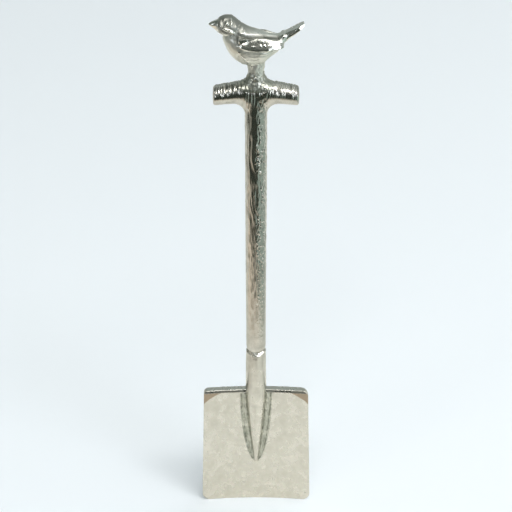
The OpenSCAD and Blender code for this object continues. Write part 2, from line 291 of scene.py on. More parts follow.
def stroke(points, path, width, depth):
    """A soft groove or ridge along a path drawn on the side view, in X and Z."""
    flat = points[:, [0, 2]]
    path = np.array(path, float)
    nearest = np.full(len(points), np.inf)
    for start, end in zip(path[:-1], path[1:]):
        along = end - start
        part = np.clip(((flat - start) @ along) / (along @ along), 0, 1)
        gap = flat - start - part[:, None] * along
        nearest = np.minimum(nearest, (gap ** 2).sum(1))
    return depth * np.exp(-nearest / width ** 2)


def lump(points, x, z, wide, tall, height):
    """A soft rise at a place on the side view."""
    return height * np.exp(-((points[:, 0] - x) / wide) ** 2 - ((points[:, 2] - z) / tall) ** 2)


# Materials
def linear(text):
    """Linear colour of an sRGB hex colour."""
    parts = [int(text[i:i + 2], 16) / 255 for i in (1, 3, 5)]
    return [p / 12.92 if p <= 0.04045 else ((p + 0.055) / 1.055) ** 2.4 for p in parts] + [1]


def add_node(tree, kind, settings=(), inputs=(), links=()):
    """Adds a shader node with its settings and input values, and links (input, node, output) into it."""
    node = tree.nodes.new("ShaderNode" + kind)
    for key, value in dict(settings).items():
        setattr(node, key, value)
    for key, value in dict(inputs).items():
        node.inputs[key].default_value = value
    for key, source, output in links:
        tree.links.new(source.outputs[output], node.inputs[key])
    return node


# The next three put their node into the tree of the node that they read
def soft_step(start, end, source, output):
    """A smooth step from 0 to 1 on one value."""
    return add_node(source.id_data, "MapRange", {"interpolation_type": "SMOOTHSTEP"},
                    {"From Min": start, "From Max": end}, [("Value", source, output)])


def combine(operation, links, inputs=()):
    """One sum on linked values."""
    return add_node(links[0][1].id_data, "Math", {"operation": operation}, inputs, links)


def blend(first, second, share, output, kind="RGBA"):
    """Goes from the first value to the second. A value is a number, a colour as hex text, or a node."""
    inputs = {}
    links = [("Factor", share, output)]
    for key, value in (("A", first), ("B", second)):
        if isinstance(value, str):
            inputs[key] = linear(value)
        elif isinstance(value, float):
            inputs[key] = value
        else:
            links.append((key, value, "Result"))
    return add_node(share.id_data, "Mix", {"data_type": kind}, inputs, links)


def new_tree(material):
    material.use_nodes = True
    material.node_tree.nodes.clear()
    return material.node_tree


def noise_node(tree, place, per_mm, detail=2.0):
    """Noise with a given number of swings for each millimetre."""
    inputs = {"Scale": per_mm / MM, "Detail": detail, "Roughness": 0.55}
    return add_node(tree, "TexNoise", inputs=inputs, links=[("Vector", place, "Object")])


# Roughness of fully satin pewter, and how many times as rough as the bright parts the dull ones are
SATIN_ROUGH = 0.58
DULL_ROUGHER = 1.6


def pewter(name, bright, dull, oxide_and_painted_light, smooth, rough, scratch_depth):
    """Pewter: bright and dull are metal colours, the dark colour goes in as patina in hollows and, where a
    piece marks it, as painted shade and painted reflection, rough is in cast places.
    """
    material = bpy.data.materials.new(name)
    tree = new_tree(material)
    place = add_node(tree, "TexCoord")
    patina_and_painted_light = add_node(tree, "Attribute", {"attribute_name": "patina_and_painted_light"})
    # Cloudy wear, about 2 mm across, broken by specks of about a millimetre
    cloud = noise_node(tree, place, 0.45, 3.0)
    specks = noise_node(tree, place, 1.2)
    mottle = add_node(tree, "Mix", {"data_type": "FLOAT"}, {"Factor": 0.3},
                      [("A", cloud, "Fac"), ("B", specks, "Fac")])
    wear = add_node(tree, "MapRange", inputs={"From Min": 0.36, "From Max": 0.64},
                    links=[("Value", mottle, "Result")])
    # Pores, about 0.2 mm across
    pores = noise_node(tree, place, 5.0)
    # Patina, painted shade and painted reflection all mix in the same dark colour
    colour = blend(blend(bright, dull, wear, "Result"), oxide_and_painted_light, patina_and_painted_light, "Fac")
    spread = add_node(tree, "MapRange", inputs={"To Min": smooth, "To Max": smooth * DULL_ROUGHER},
                      links=[("Value", wear, "Result")])
    worn = blend(spread, rough, patina_and_painted_light, "Fac", "FLOAT")
    satin = add_node(tree, "Attribute", {"attribute_name": "satin"})
    finish = blend(worn, SATIN_ROUGH, satin, "Fac", "FLOAT")
    # Bump distances are in metres
    relief = add_node(tree, "Bump", inputs={"Strength": 1.0, "Distance": scratch_depth * MM},
                      links=[("Height", pores, "Fac")])
    surface = add_node(tree, "BsdfPrincipled", inputs={"Metallic": 1.0},
                       links=[("Base Color", colour, "Result"), ("Roughness", finish, "Result"),
                              ("Normal", relief, "Normal")])
    add_node(tree, "OutputMaterial", links=[("Surface", surface, "BSDF")])
    return material


# Polished faces of the blade and its treads; the brown is a painted reflection in the upper corners
POLISHED = pewter("polished_pewter", "#DFDED7", "#D2D1C8", "#A99B8A", 0.22, 0.32, 0.003)
# The socket and tongue, rubbed rather than buffed
SATIN = pewter("satin_pewter", "#E0DFD7", "#D0CFC6", "#7C786E", 0.24, 0.5, 0.005)
# The grained castings, dark in their grooves
CAST = pewter("cast_pewter", "#D6D5CE", "#BDBCB4", "#5E5E55", 0.13, 0.34, 0.005)
# The bird, the same metal with darker tarnish in its lines; the same dark colour is painted shade along the
# cut under the back and over the head
BIRD = pewter("bird_pewter", "#F3F4EE", "#E2E4DC", "#5E6058", 0.12, 0.45, 0.003)
# Unpolished fillets beside the tongue and round the stem; the dark colour also paints the shadow in the ditch
# beside the tongue
SOLDER = pewter("solder", "#D0D2C8", "#B2B5AA", "#5F6359", 0.24, 0.5, 0.012)


# Grain of the castings: how wide and long its marks are, and how deep the whole of it is
STREAK_W = 0.55
STREAK_LEN = 4.5
FINE_W = 0.26
FINE_LEN = 1.6
PIT_W = 0.34
PIT_LEN = 0.8
SPECK_W = 0.24
SPECK_LEN = 0.5
STROKE_W = 0.23
GRAIN_DEPTH = 0.06
# The height of the grain that lies level with the solid's surface
GRAIN_LEVEL = 0.35


def ridged(value):
    """Turns smooth random values into ridges where they cross zero."""
    return 1 - 2.6 * np.abs(value)


def grain(points):
    """Height of the cast grain, about -1 to 1: streaks and pits up the shaft, lines round the grip."""
    x, y, z = points.T
    drift = 0.6 * noise(points / [3.0, 3.0, 7.0], 3)
    streaks = noise(row_points(x / STREAK_W + drift, y / STREAK_W - drift, z / STREAK_LEN), 9)
    fine = noise(row_points(x / FINE_W + 2 * drift, y / FINE_W, z / FINE_LEN), 21)
    pits = noise(points / [PIT_W, PIT_W, PIT_LEN], 33)
    # One side of the shaft stayed rougher than the other
    pitted = ramp(x + 0.7 * noise(points / [9, 9, 6], 34), -0.2, 0.9)
    smoother = 0.75 * ridged(streaks) + 0.5 * fine
    # Specks that catch the light, on the front alone and fading towards the foot and the neck
    specks = np.maximum(noise(points / [SPECK_W, SPECK_W, SPECK_LEN], 37) - 0.2, 0) * ramp(-y, 0.5, 1.4)
    specks *= (0.4 + 0.6 * ramp(z, 40, 60)) * ramp(NECK_Z - z, -1, 2)
    pits = pits * (0.5 + 0.7 * ramp(z, 48, 70)) + 3.4 * specks
    rougher = 0.4 * ridged(streaks) + 0.35 * fine + pits
    shaft = smoother * (1 - pitted) + rougher * pitted
    droop = GRIP_SAG * (2 * x / GRIP_LEN) ** 2
    turn = np.arctan2(z - GRIP_Z + droop, y)
    wander = 0.55 * noise(row_points(x / 3.0, np.cos(turn) * 1.2, np.sin(turn) * 1.2), 5)
    rings = noise(row_points(x / STREAK_W + wander, np.cos(turn) * 0.8, np.sin(turn) * 0.8), 31)
    lines = noise(row_points(x / STROKE_W + 2 * wander, np.cos(turn) * 0.55, np.sin(turn) * 0.55), 41)
    # Strokes are deepest where the bar faces up, and rubbed off below
    rubbed = 0.3 + 0.7 * ramp(np.sin(turn), -0.2, 0.35)
    bar = (0.7 * ridged(rings) + 1.3 * lines) * rubbed
    on_bar = ramp(np.abs(x), 1.6, 3.0) * ramp(z, NECK_Z + 0.5, NECK_Z + 2.5)
    return shaft * (1 - on_bar) + bar * on_bar


# Shaft: where the rounding of its foot starts, how high it is and how far it draws in
FOOT_EDGE_H = 0.5
FOOT_ROUND_H = 1.6
FOOT_ROUND_W = 0.75


def shaft_r(z):
    """Radius of the shaft, which rounds in at its foot."""
    straight = SHAFT_FOOT_R + (SHAFT_TOP_R - SHAFT_FOOT_R) * (z - FOOT_Z) / SHAFT_LEN
    part = np.clip(1 - (z - FOOT_Z - FOOT_EDGE_H) / FOOT_ROUND_H, 0, 1)
    return straight - FOOT_ROUND_W * (1 - np.sqrt(1 - part ** 2))


def make_shaft():
    foot = FOOT_Z + FOOT_EDGE_H + FOOT_ROUND_H * (1 - np.cos(np.linspace(0, math.pi / 2, 14)))
    neck = NECK_Z + np.array([0.2, 0.6, 1.0])
    heights = np.concatenate([[FOOT_Z], foot, np.linspace(foot[-1], NECK_Z, 470)[1:], neck])
    turn = full_turn(192)
    # Above the neck it narrows inside the grip
    radius = (shaft_r(heights) - 0.4 * np.maximum(heights - NECK_Z, 0))[:, None]
    rings = np.stack(np.broadcast_arrays(radius * np.cos(turn), radius * np.sin(turn), heights[:, None]), -1)
    points, faces = loft(rings)
    mesh = mesh_of("shaft_cast", points, faces)
    # The foot is polished smooth, and the grain deepens above it
    z = points[:, 2]
    strength = ramp(z, FOOT_Z + 1.2, FOOT_Z + 6) * (0.4 + 0.6 * ramp(z, FOOT_Z + 8, FOOT_Z + 24))
    height = grain(points) * strength
    out = points.copy()
    reach = np.hypot(points[:, 0], points[:, 1])
    lift = np.where(reach > 0.5, (height - GRAIN_LEVEL) * GRAIN_DEPTH / np.maximum(reach, 0.5), 0)
    out[:, :2] += points[:, :2] * lift[:, None]
    patina_and_painted_light = ramp(-height, -0.1, 0.9) * 0.45
    return piece("shaft_cast", mesh, out, patina_and_painted_light, CAST, ["shaft"])


# Fields are below zero inside a form and above zero outside it
def both(a, b, radius):
    """The overlap of two fields, with its edge rounded to a radius."""
    edge = np.hypot(np.maximum(a + radius, 0), np.maximum(b + radius, 0))
    return edge + np.minimum(np.maximum(a, b) + radius, 0) - radius


def either(a, b, radius):
    """The union of two fields, with its inner corner filled to a radius."""
    fill = np.hypot(np.maximum(radius - a, 0), np.maximum(radius - b, 0))
    return np.maximum(radius, np.minimum(a, b)) - fill


# Grip: how its end faces are rounded at the rim, and crowned
GRIP_RIM_R = 0.45
GRIP_CROWN = 0.035


def grip_field(points):
    """Below zero inside the grip and its neck."""
    x, y, z = points.T
    bar_r = GRIP_MID_R + (GRIP_END_R - GRIP_MID_R) * (2 * x / GRIP_LEN) ** 2
    up = z - GRIP_Z + GRIP_SAG * (2 * x / GRIP_LEN) ** 2
    bar_reach = np.hypot(y, up)
    bar = bar_reach - bar_r
    end = np.abs(x) - GRIP_LEN / 2 + GRIP_CROWN * bar_reach ** 2
    bar = both(bar, end, GRIP_RIM_R)
    neck_reach = np.hypot(x, y)
    neck = np.maximum(neck_reach - shaft_r(z), z - GRIP_Z)
    # The fillet fades where the two surfaces face the same way
    alike = np.abs(y * y) / np.maximum(bar_reach * neck_reach, 0.3)
    fillet = NECK_FILLET_R * np.clip(1 - alike ** 2, 0.0, 1.0) + 1e-6
    blend = np.hypot(np.maximum(fillet - bar, 0), np.maximum(fillet - neck, 0))
    return np.maximum(fillet, np.minimum(bar, neck)) - blend


def make_grip():
    base = NECK_Z - 0.3

    def closed(points):
        return np.maximum(grip_field(points), base - points[:, 2])

    low = [-GRIP_LEN / 2 - 0.3, -2.8, base - 0.3]
    high = [GRIP_LEN / 2 + 0.3, 2.8, PERCH_Z + 0.4]
    points, faces = surface_net(closed, low, high, steps=(0.09, 0.1, 0.1))
    side = points[:, 2] > base + 0.12
    points[side] = settle(grip_field, points[side])
    mesh = mesh_of("grip_cast", points, faces)
    normals = normals_of(mesh)
    height = grain(points)
    # The end faces carry only a trace of the grain
    strength = 1 - 0.75 * ramp(np.abs(normals[:, 0]), 0.75, 0.95)
    lift = (height - GRAIN_LEVEL) * GRAIN_DEPTH * strength
    # Below the neck the skin dips under the shaft's
    lift -= 0.3 * np.clip(NECK_Z - points[:, 2], 0, 1)
    out = points + normals * lift[:, None]
    patina_and_painted_light = ramp(-height, -0.1, 0.9) * 0.6 * strength
    # Satin where it faces up, so that the strokes show as long dashes
    satin = 0.22 * ramp(normals[:, 2], 0.1, 0.5)
    return piece("grip_cast", mesh, out, patina_and_painted_light, CAST, ["grip"], satin)


# Blade, socket and solder
def outline_gap(x, z):
    """Distance to the blade's outline in the front view, below zero inside."""
    lean = (BLADE_EDGE_HALF - BLADE_TOP_HALF) / TREAD_Z
    half = BLADE_EDGE_HALF - lean * z
    # The right upper corner is rounder than the left
    corner = BLADE_CORNER_R + (0.55 * ramp(x, -2, 2) - 0.75) * ramp(z, 5, 20)
    side = np.abs(x) - half + corner
    level = np.abs(z - TREAD_Z / 2) - TREAD_Z / 2 + corner
    outside = np.hypot(np.maximum(side, 0), np.maximum(level, 0))
    return outside + np.minimum(np.maximum(side, level), 0) - corner


# The folded treads: their height, half of their thickness, and how much their front and top lean
TREAD_H = 0.8
TREAD_HALF_T = 0.5
FRONT_LEAN = 0.3
TOP_LEAN = 0.14
# The blade thins towards its edge over this height, by this much
BEVEL_H = 3.0
BEVEL_T = 0.4


def blade_field(points):
    x, y, z = points.T
    depth = np.hypot(x, y + FACE_R) - FACE_R
    back = BLADE_T - BEVEL_T * np.clip(1 - z / BEVEL_H, 0, 1)
    outline = outline_gap(x, z)
    plate = np.maximum(-depth, depth - back)
    front = -depth - TREAD_HALF_T + FRONT_LEAN * (z - TREAD_Z + TREAD_H)
    fold = np.maximum(np.maximum(front, depth - TREAD_HALF_T), TREAD_Z - TREAD_H - z)
    top = z - TREAD_Z - TOP_LEAN * (depth - BLADE_T)
    return np.maximum(both(either(plate, fold, 0.1), outline, 0.12), top)


# The highest point of the buffed arch on each half of the face, above which the corners carry a painted brown
# reflection
ARCH_X = 6.2
ARCH_Z = 26.85


def make_blade():
    low = [-BLADE_EDGE_HALF - 0.4, -1.9, -0.3]
    high = [BLADE_EDGE_HALF + 0.4, 1.5, TREAD_Z + 0.3]
    points, faces = surface_net(blade_field, low, high, steps=(0.17, 0.09, 0.094))
    points = settle(blade_field, points)
    mesh = mesh_of("blade_polished", points, faces)
    normals = normals_of(mesh)
    x, z = points.T[[0, 2]]
    facing = ramp(-normals[:, 1], 0.5, 0.9)
    # Each half of the face is buffed below an arch, and the corners beyond it bend forward and carry a
    # painted brown reflection
    side = np.abs(x)
    over = np.maximum(side - ARCH_X, 0)
    arch = ARCH_Z - 0.3 * over - 0.06 * over ** 2 - 0.06 * np.maximum(ARCH_X - side, 0) ** 2
    beyond = z + 0.12 * noise(points / [1.5, 9, 1.5], 16) - arch
    beyond *= ramp(TREAD_Z - z, TREAD_H - 0.1, TREAD_H + 0.1)
    corner = 0.12 * np.clip(beyond, 0, 2.5) * ramp(side, 6, 8) * facing
    # Long soft dents left by hand polishing
    dents = 0.02 * noise(points / [4.5, 9, 5.5], 2) + 0.004 * noise(points / [1.3, 9, 1.8], 6)
    out = points + normals * dents[:, None]
    out[:, 1] -= corner
    # Painted reflection: the corners beyond the arch turn brown
    patina_and_painted_light = ramp(beyond, -0.03, 0.1) * facing * ramp(side, 3.0, 4.0)
    return piece("blade_polished", mesh, out, patina_and_painted_light, POLISHED, ["blade"])


def tongue_r(down):
    """Radius of the socket's outside at a distance below the treads."""
    part = np.clip(down / TONGUE_LEN, 0, 1)
    return SOCKET_BASE_R * (1 - 0.84 * (0.65 * part + 0.35 * part ** 2))


# Socket: the rounding of its lip, and how far the solder in its mouth rises
LIP_R = 0.07
LIP_H = 0.12
FILL_H = 0.9


def make_socket():
    turn = full_turn(144)
    mouth_r = SHAFT_FOOT_R + 0.03
    scoop_r = (mouth_r ** 2 + MOUTH_DIP ** 2) / (2 * MOUTH_DIP)
    lip = MOUTH_Z - MOUTH_DIP + scoop_r - np.sqrt(scoop_r ** 2 - (mouth_r * np.cos(turn)) ** 2)
    rows = []
    # The tongue's blunt tip, then its length, then the tube up to the lip
    tip_z = TREAD_Z - TONGUE_LEN
    tip_r = tongue_r(TONGUE_LEN)
    for angle in np.linspace(0.15, 1.3, 5):
        rows.append((tip_r * math.sin(angle), tip_z + 0.25 * (1 - math.sin(angle) ** 2)))
    for down in np.linspace(TONGUE_LEN - 0.3, 0, 110):
        rows.append((tongue_r(down), TREAD_Z - down))
    for part in np.linspace(0, 1, 50)[1:]:
        tube_r = SOCKET_BASE_R + (mouth_r - SOCKET_BASE_R) * part
        rows.append((tube_r, TREAD_Z + (lip - LIP_H - TREAD_Z) * part))
    # The lip rolls over and goes down inside
    for angle in np.linspace(15, 165, 8):
        swing = math.radians(angle)
        rows.append((mouth_r - LIP_R + LIP_R * math.cos(swing), lip - LIP_H + LIP_R * math.sin(swing)))
    # Solder fills the mouth and climbs the shaft's foot, with a flatter slope on the right
    right = ramp(np.cos(turn), 0.05, 0.3)
    for part in np.linspace(0, 1, 9):
        reach = 1.9 - (0.25 + 0.3 * right) * part
        rows.append((reach, lip - 0.1 + (FILL_H - 0.35 * right) * part))
    rows.append((1.2, lip + FILL_H))
    rings = np.array([np.stack([r * np.cos(turn), r * np.sin(turn), z + 0 * turn], 1) for r, z in rows])
    points, faces = loft(rings)
    mesh = mesh_of("socket_rubbed", points, faces)
    normals = normals_of(mesh)
    # Rubbed flats along the length, and a small crease under the front of the mouth
    flats = 0.035 * noise(points / [0.9, 0.9, 9.0], 14) + 0.012 * noise(points / [0.5, 0.5, 2.0], 15)
    fade = ramp(points[:, 2], tip_z + 0.5, tip_z + 3) * ramp(MOUTH_Z - points[:, 2], 0.6, 2.5)
    crease = stroke(points, [(-0.55, FOOT_Z - 0.62), (0.2, FOOT_Z - 0.66)], 0.1, 1.0)
    crease *= points[:, 1] < 0
    # Ripples in the solder
    inside = np.hypot(points[:, 0], points[:, 1]) < mouth_r - 0.12
    inside &= points[:, 2] > FOOT_Z - 0.2
    ripples = 0.12 * noise(points / [0.4, 0.4, 0.5], 29) * ramp(-points[:, 0], -0.6, 0.2)
    ripples += 0.04 * noise(points / [0.5, 0.5, 0.6], 30)
    lift = (flats - 0.03) * fade - 0.03 * crease + ripples * inside
    out = points + normals * lift[:, None]
    patina_and_painted_light = 0.6 * crease + 0.2 * ramp(-flats, 0, 0.03) + 0.4 * inside * ramp(-ripples, 0, 0.04)
    return piece("socket_rubbed", mesh, out, patina_and_painted_light, SATIN, ["socket"])


# Solder: where its runs start below the treads, how far down the back run goes, and the most it rises
RUN_START = 0.85
BACK_RUN_LEN = 12.6
RUN_H = 0.62


def solder_run(front):
    """Points, faces and dark marks of the rough run beside the tongue, or round the strap behind; the dark
    line in its ditch is painted shadow.
    """
    reach = TONGUE_LEN if front else BACK_RUN_LEN
    depth = 0.0 if front else BLADE_T
    downs = (RUN_START + (reach - RUN_START) * np.sin(np.linspace(0, math.pi / 2, 110)))[:-1]
    across = np.linspace(-1, 1, 73)
    wide = (SOCKET_BASE_R + RUN_W) * np.sqrt(1 - (downs / reach) ** 2)
    strap = np.sqrt(np.maximum(tongue_r(downs) ** 2 - depth ** 2, 0))
    flank = np.minimum(strap, wide * 0.7)
    place = row_points(downs[:, None] / 0.6, across * 9 + 40 * front, 0.5)
    wobble = noise(place, 17).reshape(len(downs), -1)
    edge_wobble = noise(row_points(downs[:, None] / 0.7, np.sign(across) * 3, 2.5 + front), 18)
    edge_wobble = edge_wobble.reshape(len(downs), -1)
    x = across * wide[:, None] * (1 + 0.06 * edge_wobble)
    gap = np.clip((wide[:, None] - np.abs(x)) / np.maximum(wide - flank, 0.2)[:, None], 0, 1.2)
    # A bead along the outer edge, a shallow valley, then the bank up to the strap
    bead = (0.24 + 0.2 * wobble) * np.exp(-((gap - 0.15) / 0.14) ** 2)
    bank = 0.1 + 0.3 * ramp(gap, 0.3, 0.8) + bead
    # A narrow ditch separates the bank from the tongue
    bank -= 0.16 * np.exp(-((gap - 1.0) / 0.13) ** 2)
    height = bank * np.minimum(1, gap / 0.07) * (1 + 0.3 * wobble)
    height = np.clip(height, 0, RUN_H) * ramp(reach - downs, 0.0, 1.2)[:, None]
    # Its outer edges sink into the blade
    height = height + np.where(np.abs(across) > 0.985, -0.12, 0.0)
    curve = np.sqrt(FACE_R ** 2 - x ** 2) - FACE_R
    y = curve - height if front else curve + BLADE_T + height
    z = np.broadcast_to(TREAD_Z - downs[:, None], x.shape)
    top = np.stack([x, y, z], -1)
    under = top[:, ::-1].copy()
    under[:, :, 1] = (curve + BLADE_T / 2)[:, ::-1]
    rings = np.concatenate([top, under], axis=1)
    # A dashed dark line runs inside the outer edge, and painted shadow lies in the ditch beside the tongue
    dark_dashes_and_shadow = (0.3 + 0.5 * wobble) * np.exp(-((gap - 1.0) / 0.12) ** 2)
    dark_dashes_and_shadow += 0.4 * ramp(wobble + edge_wobble, -0.1, 0.4) * np.exp(-((gap - 0.27) / 0.1) ** 2)
    dark_dashes_and_shadow = np.concatenate([dark_dashes_and_shadow, np.zeros_like(dark_dashes_and_shadow)], axis=1)
    if front:
        rings = rings[:, ::-1]
        dark_dashes_and_shadow = dark_dashes_and_shadow[:, ::-1]
    points, faces = loft(rings)
    return points, faces, np.append(dark_dashes_and_shadow.reshape(-1), [0, 0])


def joined(solids):
    """Several solids as one list of points and faces."""
    points = []
    faces = []
    start = 0
    for solid_points, solid_faces in solids:
        points.append(solid_points)
        faces += [[i + start for i in face] for face in solid_faces]
        start += len(solid_points)
    return np.vstack(points), faces


def make_solder():
    runs = [solder_run(True), solder_run(False)]
    points, faces = joined([run[:2] for run in runs])
    mesh = mesh_of("solder_runs", points, faces)
    rough = noise(points / 0.4, 19)
    out = points.copy()
    out[:, 1] += 0.06 * rough * np.where(points[:, 1] > 0.5, 1, -1)
    patina_and_painted_light = 0.3 * ramp(-rough, -0.1, 0.5) + np.concatenate([run[2] for run in runs])
    return piece("solder_runs", mesh, out, patina_and_painted_light, SOLDER, ["strap_solder"])


# The collar: how much wider than the stem its top is, and how far it spreads at its foot
COLLAR_EDGE_T = 0.12
COLLAR_SPREAD = 1.03


def collar_field(points):
    """The flared collar, run smoothly into the top of the grip."""
    x, y, z = points.T
    drop = PERCH_Z + COLLAR_H - z
    flare = COLLAR_SPREAD * (np.maximum(drop, 0) / COLLAR_H) ** 2
    wide = STEM_R + COLLAR_EDGE_T + flare
    side = np.minimum(STEM_R + COLLAR_EDGE_T + 0.3 * flare, 2.05)
    cone = (np.hypot(x / wide, y / side) - 1) * side * 0.8
    spread = either(both(cone, -drop, 0.12), grip_field(points), 0.7)
    # Away from the stem the skin sinks under the grip's
    sink = 0.03 + 0.2 * ramp(np.abs(x), 2.9, 4.0) + 0.2 * ramp(PERCH_Z - 0.9 - z, 0, 1)
    sink += 0.05 * noise(points / 0.6, 36)
    ends = np.maximum(np.abs(x) - 4.1, PERCH_Z - 2.1 - z)
    return np.maximum(spread + sink, ends)


def make_collar():
    low = [-4.4, -2.6, PERCH_Z - 2.4]
    high = [4.4, 2.6, PERCH_Z + COLLAR_H + 0.3]
    points, faces = surface_net(collar_field, low, high, steps=(0.09, 0.09, 0.09))
    points = settle(collar_field, points, steps=2)
    mesh = mesh_of("collar_rough", points, faces)
    normals = normals_of(mesh)
    rough = stem_rough(points)
    height = grain(points)
    on_stem = ramp(points[:, 2], PERCH_Z - 0.8, PERCH_Z + 0.5)
    lift = on_stem * (rough * 0.19 - 0.1) + (1 - on_stem) * (height - GRAIN_LEVEL) * GRAIN_DEPTH
    out = points + normals * lift[:, None]
    patina_and_painted_light = on_stem * ramp(-rough, -0.2, 0.9) * 0.5 + (1 - on_stem) * ramp(-height, -0.25, 0.85) * 0.6
    return piece("collar_rough", mesh, out, patina_and_painted_light, SOLDER, ["bird_solder"], 0.12 * on_stem)


def stem_rough(points):
    """Rough upright marks where the bird's stem meets the grip."""
    return 0.8 * noise(points / [0.55, 0.55, 1.5], 23) + 0.5 * noise(points / [0.33, 0.33, 0.5], 24)


# The bird: beak and head, row by row: shares of the bird's length, its height (top and bottom)
# and its half width, then the power that sets how round the section is
HEAD_ROWS = [
    [0.000, 0.872, 0.864, 0.03, 1], [0.020, 0.897, 0.838, 0.13, 1], [0.048, 0.915, 0.808, 0.20, 1],
    [0.074, 0.931, 0.778, 0.28, 1], [0.092, 0.944, 0.757, 0.36, 1], [0.110, 0.965, 0.738, 0.47, 1],
    [0.132, 0.983, 0.720, 0.57, 1], [0.162, 0.996, 0.702, 0.66, 1], [0.198, 1.000, 0.690, 0.71, 1],
    [0.234, 0.993, 0.692, 0.72, 1], [0.270, 0.967, 0.700, 0.69, 1], [0.306, 0.925, 0.715, 0.62, 1],
    [0.340, 0.885, 0.735, 0.50, 1], [0.370, 0.845, 0.765, 0.30, 1]
]
BODY_ROWS = [
    [0.144, 0.709, 0.651, 0.11, 1], [0.157, 0.770, 0.599, 0.32, 1], [0.179, 0.804, 0.527, 0.50, 1],
    [0.208, 0.837, 0.452, 0.65, 1], [0.240, 0.865, 0.391, 0.77, 1], [0.272, 0.890, 0.348, 0.86, 1],
    [0.308, 0.905, 0.312, 0.93, 1], [0.350, 0.878, 0.278, 0.97, 1], [0.410, 0.833, 0.258, 0.99, 1],
    [0.483, 0.793, 0.258, 0.98, 1], [0.555, 0.762, 0.280, 0.96, 1], [0.605, 0.737, 0.333, 0.92, 1],
    [0.655, 0.721, 0.400, 0.85, 1], [0.707, 0.717, 0.448, 0.74, 1], [0.752, 0.727, 0.521, 0.61, 0.95],
    [0.792, 0.755, 0.593, 0.49, 0.85], [0.840, 0.790, 0.658, 0.43, 0.75], [0.888, 0.823, 0.711, 0.43, 0.65],
    [0.938, 0.858, 0.772, 0.45, 0.6], [0.980, 0.884, 0.834, 0.43, 0.6], [0.997, 0.890, 0.866, 0.37, 0.6]
]
# A folded wing: X, the middle height, half of its height, how far its middle stands out, half of
# its thickness, all in millimetres
WING_ROWS = [
    [-3.45, 106.6, 0.25, 2.35, 0.25], [-3.1, 106.6, 0.75, 2.5, 0.4], [-2.5, 106.55, 0.95, 2.6, 0.5],
    [-1, 106.45, 1.18, 2.68, 0.5], [0.5, 106.4, 1.25, 2.68, 0.5], [2, 106.35, 1.15, 2.6, 0.5],
    [3, 106.3, 0.98, 2.45, 0.48], [4.2, 106.2, 0.8, 2.2, 0.42], [5, 106.12, 0.6, 1.95, 0.36],
    [5.45, 106.05, 0.3, 1.75, 0.25]
]
WING_LEAN = math.radians(30)
# Points in each ring of the body, the head and the stem
BIRD_AROUND = 64


def bird_section(row):
    """One ring of points round the bird, from a row of shares."""
    turn = full_turn(BIRD_AROUND)
    share, top, bottom, half, power = row
    middle = PERCH_Z + BIRD_H * (top + bottom) / 2
    tall = BIRD_H * (top - bottom) / 2
    y = BIRD_HALF_W * half * np.sign(np.cos(turn)) * np.abs(np.cos(turn)) ** power
    z = middle + tall * np.sign(np.sin(turn)) * np.abs(np.sin(turn)) ** power
    return np.stack([(share - PERCH_ALONG) * BIRD_LEN + 0 * turn, y, z], 1)


def bird_loft(rows):
    return loft(np.array([bird_section(row) for row in smooth_table(rows, per_row=5)]))


def wing_loft(side):
    """A folded wing, leaning in over the back; side is 1 for the far wing and -1 for the near one."""
    turn = full_turn(40)
    rings = []
    for x, middle, tall, out, thick in smooth_table(WING_ROWS, per_row=5):
        up = tall * np.sin(turn)
        flat = thick * np.cos(turn)
        y = out - up * math.sin(WING_LEAN) + flat * math.cos(WING_LEAN)
        z = middle + up * math.cos(WING_LEAN) + flat * math.sin(WING_LEAN)
        ring = np.stack([x + 0 * turn, side * y, z], 1)
        rings.append(ring if side > 0 else ring[::-1])
    return loft(np.array(rings))


# The stem's flare: where it ends, as a share of the bird's height, and how wide, as a share of its half
# width, then how much less it spreads to the front and back
FLARE_TOP = 0.35
FLARE_WIDE = 0.8
FLARE_FLAT = 0.2


def stem_loft():
    """The round stem, flaring into the belly."""
    turn = full_turn(BIRD_AROUND)
    flare_h = FLARE_TOP * BIRD_H - STEM_WAIST_H
    flare_w = FLARE_WIDE * BIRD_HALF_W - STEM_R
    levels = [(0, -0.6), (0, 0), (0, 1.1)]
    for angle in np.linspace(0, math.pi / 2, 9):
        levels.append((flare_w * (1 - math.cos(angle)), STEM_WAIST_H + flare_h * math.sin(angle)))
    levels.append((flare_w / 2, STEM_WAIST_H + 1.2 * flare_h))
    rings = []
    for spread, rise in levels:
        x = (STEM_R + spread) * np.cos(turn)
        y = (STEM_R + FLARE_FLAT * spread) * np.sin(turn)
        rings.append(np.stack([x, y, PERCH_Z + rise + 0 * turn], 1))
    return loft(np.array(rings))


def wing_mask(points):
    """1 on the outer face of either wing, and the place across it, from -1 to 1."""
    x, y, z = points.T
    along = (x + 3.5) / 9
    columns = list(zip(*WING_ROWS))
    middle, tall, out = [np.interp(x, columns[0], column) for column in columns[1:4]]
    up = (z - middle) * math.cos(WING_LEAN) - (np.abs(y) - out) * math.sin(WING_LEAN)
    stand = (z - middle) * math.sin(WING_LEAN) + (np.abs(y) - out) * math.cos(WING_LEAN)
    across = up / np.maximum(tall, 0.2)
    inside = ramp(stand, -0.35, -0.05) * ramp(-np.abs(across), -1.15, -0.95)
    inside *= ramp(along, -0.03, 0.01) * ramp(-along, -1.02, -0.98)
    return inside, across


